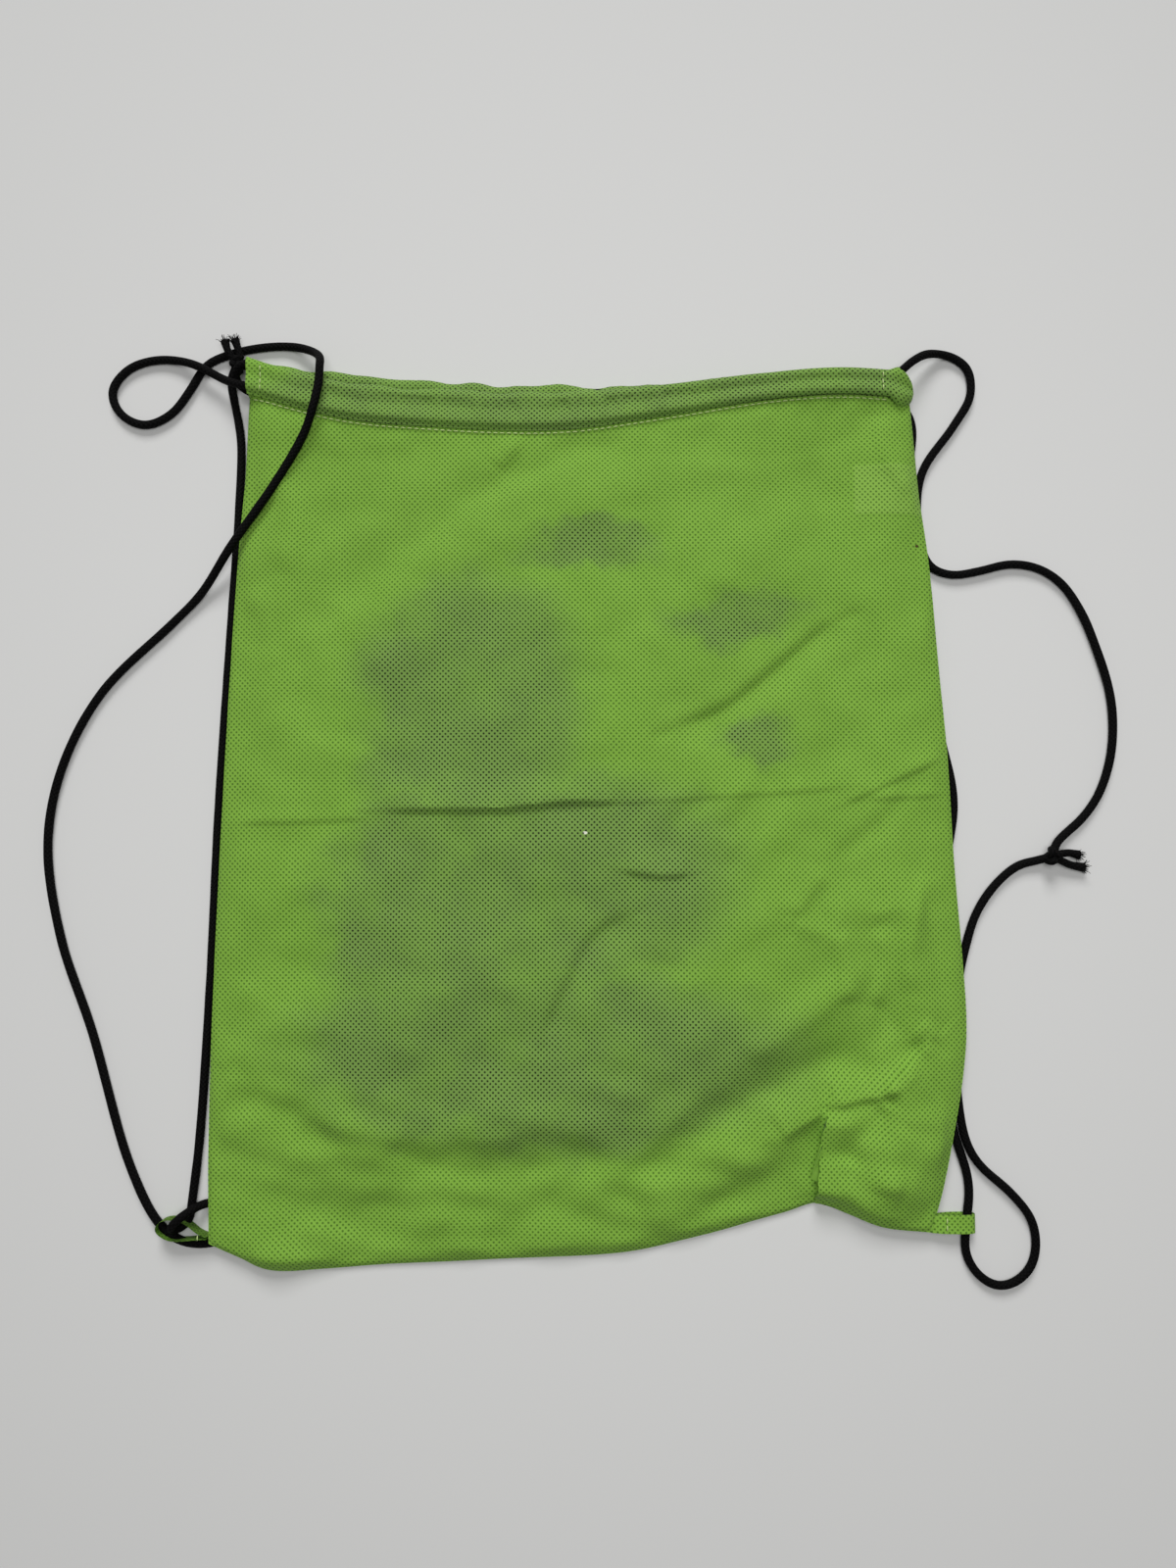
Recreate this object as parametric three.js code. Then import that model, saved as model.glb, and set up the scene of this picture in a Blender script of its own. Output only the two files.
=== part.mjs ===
// A drawstring cinch bag of spunbond cloth, lying flat on a table with its mouth towards +Y.
// Millimetres, +Z up. The table is z = 0, and the origin is under the middle of the bag.
import * as THREE from "three";

// ---- Driving dimensions ----
const CLOTH = 0.5; // thickness of one ply of cloth
const GAP = 0.3; // clearance between pieces that touch
const CORD = 4; // diameter of the braided cord
const THREAD = 0.4; // diameter of the sewing thread
const EDGE_LIFT = 4.4; // how far a side edge is held off the table by the cord beneath it
const LIFTED = [0.068, 0.16]; // share of the width over which that lift stays full, then dies out
const SEAM_GAP = 1.8; // room between the two panels at a side edge, for the seam allowances
const FOLD_GAP = 0.35; // room between them at the bottom fold
const CAVITY = 9.6; // how much further apart they are in the middle of the bag
const MOUTH_LIFT = 5.4; // how much further apart they are at the ends of the mouth
const CASING_WIDTH = 21.6; // along the bag
const CASING_DEPTH = 6; // across the tunnel, outside
const BACK_CASING_Z = 10.8; // underside of the upper casing
const SEAM_WIDTH = 8; // seam allowance
const TAB_WIDTH = 8.5; // ribbon of the bottom tabs
const STITCH_INSET = 1.6; // from a cloth edge to the line of stitches

// Outlines of the bag.
const LEFT_EDGE = [[-167, -207], [-168, -170], [-168, -120], [-165, 0], [-160, 118], [-157, 160], [-155, 196.5]];
const RIGHT_EDGE = [
  [170.5, -202], [177, -180], [187.5, -126], [189, -103], [184.5, -22], [183, 18],
  [179.5, 65], [176, 113], [171.5, 150], [167, 189.5],
];
const BOTTOM_FOLD = [
  [-167, -207], [-153, -213], [-137, -219.5], [-81, -217.5], [-26, -215], [28, -212],
  [65, -204], [102, -194], [119, -189.5], [148, -199.5], [170.5, -202],
];
// The lines along which each casing is sewn to its panel. The casing ends at the last point but one.
const FRONT_MOUTH = [
  [-155, 197.2], [-112, 191.5], [-57, 185.2], [-5, 182.9], [60, 184.2], [98, 188.7], [132, 190.2], [160, 189.8], [167, 189.5],
];
const BACK_MOUTH = [
  [-155, 196.3], [-112, 185.2], [-70, 180], [-5, 177.2], [50, 181.8], [98, 189.7], [132, 192.2], [160, 190.7], [167, 189.8],
];

// Centre lines of the two drawcords, each from one side of its knot round to the other.
const LEFT_ROUTE = [
  // through the lower casing, round its right end
  [-157.2, 214.6, 3.4], [-150, 213.8, 3], [-112, 208.8, 3], [-57, 202.5, 3], [-5, 200.2, 3],
  [60, 201.5, 3], [98, 206, 3], [132, 207.5, 3], [158, 207.1, 3], [164.8, 205.4, 4.1],
  [168.4, 201.4, 7.6], [166.2, 197.2, 11.7],
  // back through the upper casing
  [158, 195.6, 13.8], [132, 196.9, 13.8], [98, 194.4, 13.8], [50, 186.6, 13.8], [-5, 182, 13.8],
  [-70, 184.8, 13.8], [-112, 190, 13.8], [-150, 199.8, 13.8],
  [-156, 200.8, 13.7],
  // a small loop beside the left corner, back across itself
  [-163, 203.2, 11.8], [-169.4, 206.9, 8.2], [-181, 213.5, 6.6], [-192, 217.8, 3.2], [-205, 218.4, 2.1],
  [-217.5, 213.6, 2.1], [-225, 202.5, 2.1], [-220.5, 191.3, 2.1], [-208.5, 185.6, 2.1],
  [-195.5, 191.2, 2.1], [-186.3, 203.5, 2.1], [-178.5, 216, 2.1], [-166, 221.8, 2.1], [-150, 225.1, 2.1],
  // over the top left corner of the bag
  [-136, 225.2, 2.6], [-125.5, 220.8, 7.5], [-119.6, 214.5, 14.6], [-118.8, 209, 19], [-118.8, 202, 19.4],
  [-121.4, 189, 19.3], [-126.5, 177, 15.2], [-140, 155, 11.9], [-162.6, 122.4, 9.8], [-178.4, 101, 3.2],
  // the outer leg, and a turn under the bottom left corner
  [-193, 86, 2.1], [-225.8, 52.7, 2.1], [-244, 16, 2.1], [-249.6, -20.4, 2.1], [-242, -65, 2.1],
  [-225.7, -109.3, 2.1], [-206.3, -171, 2.1], [-192.5, -197.5, 2.1], [-182, -206.2, 2.1],
  [-169, -207.9, 2.1], [-157.5, -203.8, 2.1], [-154.6, -197, 2.1], [-160, -190.2, 2.1],
  [-168.6, -189, 2.4],
  // over itself and down through the tab
  [-173.4, -190.4, 6.4], [-179, -193.8, 10.6], [-183.2, -198, 10.4], [-184.2, -200.6, 6.8],
  [-181.4, -200.8, 3], [-177.6, -197.4, 2.1],
  // the inner leg, under the side edge and up to the knot
  [-176.2, -188, 2.1], [-173.4, -160, 2.1], [-170, -86, 2.1], [-167.9, -7, 2.1], [-164, 80, 2.1],
  [-161, 143, 2.1], [-160.8, 178, 2.1], [-164.3, 197, 2.1], [-165.8, 204.4, 2.5], [-165.6, 209.6, 3.6],
];
const RIGHT_ROUTE = [
  // the outer leg, up to the upper casing
  [234.4, -20.4, 3.6], [239, -16.2, 2.3], [248.5, -7.7, 2.1], [256.9, 4.6, 2.1], [263.2, 25, 2.1],
  [263.6, 50, 2.1], [256.7, 76.3, 2.1], [250, 93.2, 2.1], [240.9, 106.8, 2.1], [229.6, 114.1, 2.1],
  [216.2, 116, 2.1], [201.3, 112.6, 2.1], [187.8, 110.7, 2.1], [177.6, 114.6, 2.1], [173.2, 124, 2.1],
  [171.3, 140, 2.1], [174.4, 162, 2.1], [190.4, 185.3, 2.1], [199, 200.6, 2.1], [198, 213.6, 2.1],
  [191.3, 219.6, 2.1], [184.4, 221.1, 3.2], [176, 219.3, 7.4], [167.5, 213.5, 12], [158, 208.4, 13.8],
  // through the upper casing and round its left end
  [132, 209.5, 13.8], [98, 207, 13.8], [50, 199.1, 13.8], [-5, 194.5, 13.8], [-70, 197.3, 13.8],
  [-112, 202.5, 13.8], [-150, 212.2, 13.8], [-157.2, 212.4, 12.9], [-161.8, 209.4, 10.2],
  [-162.3, 206, 6.6], [-157.6, 202.2, 3.2],
  // back through the lower casing
  [-150, 201, 3], [-112, 195.8, 3], [-57, 189.5, 3], [-5, 187.2, 3], [60, 188.5, 3],
  [98, 193, 3], [132, 194.5, 3], [158, 194.2, 3],
  // down under the side edge, through the tab, a loop on the table, and back to the knot
  [166.8, 192.6, 2.2], [169.9, 184, 2.1], [168.5, 168, 2.1], [165.3, 135, 2.1], [166.3, 115, 2.1],
  [169.3, 85, 2.1], [180, 34, 2.1], [186.3, 0, 2.1], [181.2, -33, 2.1], [176, -80, 2.1], [179, -130, 2.1],
  [183.2, -157, 2.1], [188.8, -176, 2.1], [189.4, -185, 2.5], [188.2, -193.6, 3], [187.2, -202.5, 3],
  [187.2, -211, 2.1], [189.8, -217.9, 2.1], [195.2, -224.1, 2.1], [202.5, -227.3, 2.1],
  [210.4, -225.4, 2.1], [217.4, -219, 2.1], [220.4, -209, 2.1], [218.6, -197, 2.1], [209.5, -185, 2.1],
  [196, -173, 2.1], [190.9, -166, 2.1], [187.6, -157, 2.1], [184.6, -130, 2.1], [185.8, -92, 2.1],
  [191.4, -66.3, 2.1], [196.4, -52.8, 2.1], [205.7, -39.7, 2.1], [216.7, -30.8, 2.1], [226.6, -28.2, 3],
];

// ---- Materials ----
const finish = (color, roughness) => new THREE.MeshStandardMaterial({ color, roughness, metalness: 0 });
const CLOTH_FINISH = finish(0x78a637, 0.85);
const CORD_FINISH = finish(0x0b0b0c, 0.6);
const THREAD_FINISH = finish(0xa9c860, 0.6);
const LABEL_FINISH = finish(0xe9ece4, 0.7);

const bag = new THREE.Group();

// Names a geometry as one piece of the bag.
function piece(name, geometry, material) {
  const mesh = new THREE.Mesh(geometry, material);
  mesh.name = name;
  bag.add(mesh);
}

// ---- Curves and surfaces ----
const smooth = THREE.MathUtils.smoothstep;
const point = ([x, y, z = 0]) => new THREE.Vector3(x, y, z);

// A smooth line through points, which a sweep follows with steps shared out evenly between them.
class Route extends THREE.CatmullRomCurve3 {
  constructor(points) {
    super(points.map(point));
  }
  getTangentAt(t) {
    return this.getTangent(t);
  }
  getPointAt(t) {
    return this.getPoint(t);
  }
  getSpacedPoints(steps) {
    return this.getPoints(steps);
  }
}

const line = (points) => new THREE.CatmullRomCurve3(points.map(point));
const leftEdge = line(LEFT_EDGE);
const rightEdge = line(RIGHT_EDGE);
const bottomFold = line(BOTTOM_FOLD);
const frontMouth = line(FRONT_MOUTH);
const backMouth = line(BACK_MOUTH);

// The point of a panel at u across and v up, between its four edges.
function onPanel(u, v, mouth) {
  const [left, right] = [leftEdge.getPointAt(v), rightEdge.getPointAt(v)];
  const [low, high] = [bottomFold.getPointAt(u), mouth.getPointAt(u)];
  const corner = (a, b) => (b ? mouth : bottomFold).getPoint(a);
  const at = new THREE.Vector3();
  at.addScaledVector(left, 1 - u).addScaledVector(right, u);
  at.addScaledVector(low, 1 - v).addScaledVector(high, v);
  for (const [a, b] of [[0, 0], [0, 1], [1, 0], [1, 1]]) {
    const share = (a ? u : 1 - u) * (b ? v : 1 - v);
    const side = (a ? rightEdge : leftEdge).getPoint(b);
    at.addScaledVector(side.lerp(corner(a, b), 0.5), -share);
  }
  return at;
}

const inFromSide = (u) => Math.min(u, 1 - u);
const frontUnderside = (u) => EDGE_LIFT * (1 - smooth(inFromSide(u), ...LIFTED));
function backUnderside(u, v) {
  const atEdge = FOLD_GAP + (SEAM_GAP - FOLD_GAP) * smooth(v, 0, 0.035);
  const hollow = CAVITY * smooth(inFromSide(u), 0, 0.3) * smooth(v, 0, 0.3);
  return frontUnderside(u) + CLOTH + atEdge + Math.max(hollow, MOUTH_LIFT * smooth(v, 0.82, 1));
}

// Moves every vertex of a geometry to where place(x, y, z) puts it.
function bent(geometry, place) {
  const at = geometry.attributes.position;
  for (let i = 0; i < at.count; i++) {
    const p = place(at.getX(i), at.getY(i), at.getZ(i));
    at.setXYZ(i, p.x, p.y, p.z);
  }
  geometry.computeVertexNormals();
  return geometry;
}

const ACROSS = 26; // facets across a panel
// A panel: a unit slab of cloth bent to the outline, with its underside at the height given.
function panel(mouth, underside) {
  const slab = new THREE.BoxGeometry(1, 1, 1, ACROSS, 24, 1);
  return bent(slab, (x, y, z) => {
    const [u, v] = [x + 0.5, y + 0.5];
    const at = onPanel(u, v, mouth);
    at.z = underside(u, v) + (z + 0.5) * CLOTH;
    return at;
  });
}

// A tunnel of cloth that follows the line where it is sewn, open at both ends.
function casing(mouth, bottom) {
  const box = (inset) => {
    const [y0, y1] = [GAP + inset, GAP + CASING_WIDTH - inset];
    const round = (CASING_DEPTH - 2 * inset) / 2;
    const path = new THREE.Shape();
    path.absarc(y1 - round, CASING_DEPTH / 2, round, -Math.PI / 2, Math.PI / 2);
    path.absarc(y0 + round, CASING_DEPTH / 2, round, Math.PI / 2, Math.PI * 1.5);
    return path;
  };
  const section = box(0);
  section.holes.push(box(CLOTH));
  const segments = mouth.points.length - 1;
  const tube = new THREE.ExtrudeGeometry(section, { depth: 1, steps: 30, bevelEnabled: false, curveSegments: 4 });
  return bent(tube, (across, up, along) => {
    const at = mouth.getPoint(along * (1 - 1 / segments));
    return new THREE.Vector3(at.x, at.y + across, bottom + at.z + up);
  });
}

const SEAM_Z = EDGE_LIFT + CLOTH + GAP; // underside of a seam allowance
// A strip of cloth, of a width and a thickness, along the inside of a side edge.
function seamStrip(edge, inwards, from, to) {
  const strip = new THREE.BoxGeometry(1, 1, 1, 1, 20, 1);
  return bent(strip, (x, y, z) => {
    const v = from + (to - from) * (y + 0.5);
    const at = edge.getPointAt(v);
    at.x += inwards * (0.8 + (inwards * x + 0.5) * SEAM_WIDTH);
    at.z = SEAM_Z + (z + 0.5) * CLOTH;
    return at;
  });
}

// A round section swept along a route.
function swept(route, diameter, sides, steps) {
  const disc = new THREE.Shape();
  disc.absarc(0, 0, diameter / 2, 0, Math.PI * 2);
  return new THREE.ExtrudeGeometry(disc, { extrudePath: route, steps, curveSegments: sides / 2 });
}

// A line of stitches, as one continuous thread.
const thread = (points, steps) => swept(new Route(points), THREAD, 6, steps);

// ---- Bag body ----
piece("front_panel", panel(frontMouth, frontUnderside), CLOTH_FINISH);
piece("back_panel", panel(backMouth, backUnderside), CLOTH_FINISH);
piece("front_casing", casing(frontMouth, 0), CLOTH_FINISH);
piece("back_casing", casing(backMouth, BACK_CASING_Z), CLOTH_FINISH);
piece("left_side_seam", seamStrip(leftEdge, 1, 0.06, 0.97), CLOTH_FINISH);
piece("right_side_seam", seamStrip(rightEdge, -1, 0.06, 0.97), CLOTH_FINISH);

// ---- Stitching ----
// The seam that joins a casing to its panel, on the panel's upper side.
function mouthStitching(mouth, underside) {
  const points = [];
  for (let i = 1; i < ACROSS; i++) {
    const at = onPanel(i / ACROSS, 1, mouth);
    points.push([at.x, at.y - STITCH_INSET, underside(i / ACROSS, 1) + CLOTH + GAP + THREAD / 2]);
  }
  return thread(points, points.length - 1);
}
piece("front_casing_stitching", mouthStitching(frontMouth, frontUnderside), THREAD_FINISH);
piece("back_casing_stitching", mouthStitching(backMouth, backUnderside), THREAD_FINISH);

// The overlocked edge of a seam allowance.
function overlock(edge, inwards) {
  const points = [];
  for (let i = 0; i <= 18; i++) {
    const at = edge.getPointAt(0.065 + (0.9 * i) / 18);
    points.push([at.x + inwards * (SEAM_WIDTH + 0.8 + GAP + THREAD), at.y, SEAM_Z + CLOTH / 2]);
  }
  return thread(points, points.length - 1);
}
piece("left_seam_overlock", overlock(leftEdge, 1), THREAD_FINISH);
piece("right_seam_overlock", overlock(rightEdge, -1), THREAD_FINISH);

// The hem across each end of each casing.
const HEM = 7; // from the end of a casing
function hemStitching(mouth, end, bottom) {
  const [at, next] = [mouth.points[end], mouth.points[end ? end - 1 : 1]];
  const share = HEM / Math.abs(next.x - at.x);
  const x = at.x + (next.x - at.x) * share;
  const y = at.y + (next.y - at.y) * share + GAP;
  const z = bottom + CASING_DEPTH + THREAD / 2 + 0.1;
  return thread([[x, y + 4, z], [x + 0.2, y + CASING_WIDTH / 2, z], [x, y + CASING_WIDTH - 4, z]], 4);
}
const CASING_END = FRONT_MOUTH.length - 2;
piece("front_left_hem_stitching", hemStitching(frontMouth, 0, 0), THREAD_FINISH);
piece("front_right_hem_stitching", hemStitching(frontMouth, CASING_END, 0), THREAD_FINISH);
piece("back_left_hem_stitching", hemStitching(backMouth, 0, BACK_CASING_Z), THREAD_FINISH);
piece("back_right_hem_stitching", hemStitching(backMouth, CASING_END, BACK_CASING_Z), THREAD_FINISH);

// ---- Bottom tabs ----
const outline = (points) => points.map(([x, y]) => new THREE.Vector2(x, y));

// The left tab stands on its edge, so its loop is open upwards.
const LEFT_TAB_Z = 4.5;
const LEFT_TAB_RISE = 4;
const leftTab = new THREE.Shape(
  outline([
    [-168.8, -204.4], [-168.8, -202.4], [-172.6, -200.6], [-175.6, -197.8], [-179, -196], [-183.4, -194.9], [-187.6, -195],
    [-190.6, -196.6], [-191.8, -199.3], [-190.8, -202], [-188, -204.3], [-184, -205.7], [-178, -205.5], [-172, -205.1],
  ]),
);
leftTab.holes.push(
  new THREE.Path(
    outline([
      [-176.2, -202.6], [-178.4, -204.3], [-184, -204.5], [-187.4, -203.2], [-189.8, -201.3], [-190.6, -199.3],
      [-189.8, -197.4], [-187.4, -196.2], [-183.6, -196.1], [-179.6, -197.1], [-177, -198.8],
    ]),
  ),
);
const leftTabLoop = new THREE.ExtrudeGeometry(leftTab, { depth: LEFT_TAB_RISE, bevelEnabled: false });
leftTabLoop.translate(0, 0, LEFT_TAB_Z);
piece("left_tab", leftTabLoop, CLOTH_FINISH);

// The right tab lies flat, and the cord runs through it along Y.
const RIGHT_TAB_END = -193.8;
const rightTab = new THREE.Shape(
  outline([
    [174.4, 5.2], [174.4, 4.4], [178.4, 1.9], [182, 0.1], [189.3, 0.1], [191.1, 1.1], [191.8, 3],
    [191.1, 5], [189.3, 6], [178, 6],
  ]),
);
rightTab.holes.push(
  new THREE.Path(
    outline([
      [178.4, 5.3], [189, 5.3], [190.5, 4.6], [191.1, 3], [190.5, 1.5], [189, 0.8], [182.4, 0.8], [179.4, 2.4], [177.6, 4.6],
    ]),
  ),
);
const rightTabLoop = new THREE.ExtrudeGeometry(rightTab, { depth: TAB_WIDTH, bevelEnabled: false });
rightTabLoop.rotateX(Math.PI / 2);
rightTabLoop.translate(0, RIGHT_TAB_END, 0);
piece("right_tab", rightTabLoop, CLOTH_FINISH);

// Bar tacks across the root of each tab.
const leftTack = LEFT_TAB_Z + LEFT_TAB_RISE + THREAD / 2 + 0.1;
piece(
  "left_tab_stitching",
  thread([[-172.2, -204.4, leftTack], [-171.9, -203, leftTack], [-172.2, -201.4, leftTack]], 4),
  THREAD_FINISH,
);
piece("right_tab_stitching", thread([[180, -201.4, 6.3], [180.2, -198, 6.3], [180, -194.8, 6.3]], 4), THREAD_FINISH);

// ---- Care label, sewn into the right seam ----
const LABEL = { width: 30, height: 24, y: 150.6, thickness: 0.2, inset: 1.4 };
const careLabel = new THREE.BoxGeometry(LABEL.width, LABEL.height, LABEL.thickness);
const labelEdge = rightEdge.points.find((p) => p.y > LABEL.y - 1).x;
careLabel.translate(labelEdge - LABEL.inset - LABEL.width / 2, LABEL.y, SEAM_Z + CLOTH + GAP + LABEL.thickness / 2);
piece("care_label", careLabel, LABEL_FINISH);

// ---- Drawcords, their knots and the tails past the knots ----
const drawcord = (route) => swept(new Route(route), CORD, 10, route.length - 1);
piece("left_drawcord", drawcord(LEFT_ROUTE), CORD_FINISH);
piece("right_drawcord", drawcord(RIGHT_ROUTE), CORD_FINISH);

// A pulled-tight overhand knot of two cords: a lump with three turns standing out of it.
function knot([x, y, z], [a, b, c], turn) {
  const lump = bent(new THREE.SphereGeometry(1, 18, 12), (px, py, pz) => {
    const swell = 0.92 + 0.08 * Math.cos(3 * Math.atan2(pz, px) + 2 * py);
    return new THREE.Vector3(px * a * swell, py * b, pz * c * swell);
  });
  lump.rotateZ(turn);
  lump.translate(x, y, z);
  return lump;
}
piece("left_knot", knot([-162.5, 215, 5.2], [4, 4.6, 4.5], 0.3), CORD_FINISH);
piece("right_knot", knot([232, -26.2, 5.2], [4.3, 5.2, 4.6], -1.2), CORD_FINISH);

const tail = (points) => swept(new Route(points), CORD * 0.85, 8, 5);
piece("left_knot_tail_a", tail([[-165.2, 220.2, 6.6], [-167.4, 224.4, 6.9], [-169.6, 228.6, 6]]), CORD_FINISH);
piece("left_knot_tail_b", tail([[-160.9, 220.9, 6.6], [-162.6, 224.8, 6.9], [-164.8, 228.8, 6]]), CORD_FINISH);
piece("right_knot_tail_a", tail([[238.4, -24.8, 4.6], [243, -24.9, 3.2], [248, -26, 2.2]]), CORD_FINISH);
piece("right_knot_tail_b", tail([[238, -29.8, 4.4], [243.4, -31.4, 3.2], [250.6, -32, 2.2]]), CORD_FINISH);

export default bag;
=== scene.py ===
import math
import bmesh
import bpy
import numpy as np
from mathutils import Matrix, Vector


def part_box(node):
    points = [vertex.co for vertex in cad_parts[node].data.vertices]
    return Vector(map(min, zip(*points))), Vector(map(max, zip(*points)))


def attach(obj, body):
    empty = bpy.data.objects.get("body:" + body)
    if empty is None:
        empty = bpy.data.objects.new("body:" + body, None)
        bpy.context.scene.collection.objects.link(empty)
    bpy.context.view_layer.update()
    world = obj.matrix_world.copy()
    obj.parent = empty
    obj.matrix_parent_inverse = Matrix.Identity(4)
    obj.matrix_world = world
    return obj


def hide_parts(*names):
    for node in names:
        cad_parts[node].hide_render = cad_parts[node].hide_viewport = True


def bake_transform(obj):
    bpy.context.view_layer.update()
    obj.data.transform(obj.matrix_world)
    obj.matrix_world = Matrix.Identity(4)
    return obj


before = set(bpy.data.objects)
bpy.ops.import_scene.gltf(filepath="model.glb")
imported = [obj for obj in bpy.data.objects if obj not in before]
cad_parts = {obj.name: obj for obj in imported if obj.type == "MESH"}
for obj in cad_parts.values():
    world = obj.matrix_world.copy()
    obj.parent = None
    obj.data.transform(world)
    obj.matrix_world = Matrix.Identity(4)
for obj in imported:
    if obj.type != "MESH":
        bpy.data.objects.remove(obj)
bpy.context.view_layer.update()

# Everything is in metres in the bag's own frame: the bag lies on z = 0, its mouth towards +Y.
CORD = 0.004  # diameter of the braided drawcords
CLOTH = 0.00042  # thickness of the spunbond cloth

# ---- Camera: nearly straight down, from a little below the middle ----
lens = bpy.data.cameras.new("camera")
lens.lens = 26.69
lens.sensor_width = 36
camera = bpy.data.objects.new("camera", lens)
bpy.context.scene.collection.objects.link(camera)
eye = Vector((0.0101, -0.0307, 0.5616))
camera.location = eye
camera.rotation_euler = (Vector((0.0101, 0.0085, 0)) - eye).to_track_quat("-Z", "Y").to_euler()
bpy.context.scene.camera = camera

# ---- The routes of the two drawcords, from one side of the knot round to the other ----
LEFT_ROUTE = [
    # through the lower casing, round its right end
    (-0.1572, 0.2146, 0.0034), (-0.15, 0.2128, 0.003), (-0.112, 0.208, 0.003),
    (-0.057, 0.203, 0.003), (-0.005, 0.2013, 0.003), (0.06, 0.2026, 0.003), (0.098, 0.2027, 0.003),
    (0.132, 0.2047, 0.003), (0.158, 0.2044, 0.003), (0.1622, 0.2052, 0.0041), (0.1655, 0.2028, 0.0076),
    (0.1635, 0.2000, 0.0117),
    # back through the upper casing
    (0.158, 0.1982, 0.0138), (0.132, 0.1996, 0.0138), (0.098, 0.197, 0.0138), (0.05, 0.1898, 0.0138),
    (-0.005, 0.1831, 0.0138), (-0.07, 0.1849, 0.0138), (-0.112, 0.1894, 0.0138), (-0.15, 0.1996, 0.0138),
    (-0.156, 0.2008, 0.0137),
    # a small loop beside the left corner, back across itself
    (-0.163, 0.2032, 0.0118), (-0.1694, 0.2069, 0.0082), (-0.181, 0.2135, 0.0066),
    (-0.192, 0.2178, 0.0032), (-0.205, 0.2184, 0.0021), (-0.2175, 0.2136, 0.0021),
    (-0.225, 0.2025, 0.0021), (-0.2205, 0.1913, 0.0021), (-0.2085, 0.1856, 0.0021),
    (-0.1955, 0.1912, 0.0021), (-0.1863, 0.2035, 0.0021), (-0.1785, 0.216, 0.0021),
    (-0.166, 0.2218, 0.0021), (-0.15, 0.2251, 0.0021),
    # over the top left corner of the bag
    (-0.136, 0.2252, 0.0026), (-0.1255, 0.2208, 0.0075), (-0.1196, 0.2145, 0.0146),
    (-0.1188, 0.209, 0.019), (-0.1188, 0.202, 0.0194), (-0.1214, 0.189, 0.0193),
    (-0.1265, 0.177, 0.0152), (-0.14, 0.155, 0.0119), (-0.1626, 0.1224, 0.0098),
    (-0.1784, 0.101, 0.0032),
    # the outer leg, and a turn under the bottom left corner
    (-0.193, 0.086, 0.0021), (-0.2258, 0.0527, 0.0021), (-0.244, 0.016, 0.0021),
    (-0.2496, -0.0204, 0.0021), (-0.242, -0.065, 0.0021), (-0.2257, -0.1093, 0.0021),
    (-0.2063, -0.171, 0.0021), (-0.1925, -0.1975, 0.0021), (-0.182, -0.2062, 0.0021),
    (-0.169, -0.2079, 0.0021), (-0.1575, -0.2038, 0.0021), (-0.1546, -0.197, 0.0021),
    (-0.16, -0.1902, 0.0021), (-0.1686, -0.189, 0.0024),
    # over itself and down through the tab
    (-0.1734, -0.1904, 0.0064), (-0.179, -0.1938, 0.0106), (-0.1832, -0.198, 0.0104),
    (-0.1842, -0.2006, 0.0068), (-0.1814, -0.2008, 0.003), (-0.1776, -0.1974, 0.0021),
    # the inner leg, under the side edge and up to the knot
    (-0.1762, -0.188, 0.0021), (-0.1734, -0.16, 0.0021), (-0.17, -0.086, 0.0021),
    (-0.1679, -0.007, 0.0021), (-0.164, 0.08, 0.0021), (-0.161, 0.143, 0.0021),
    (-0.1608, 0.178, 0.0021), (-0.1643, 0.197, 0.0021), (-0.1658, 0.2044, 0.0025),
    (-0.1656, 0.2096, 0.0036),
]
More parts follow.
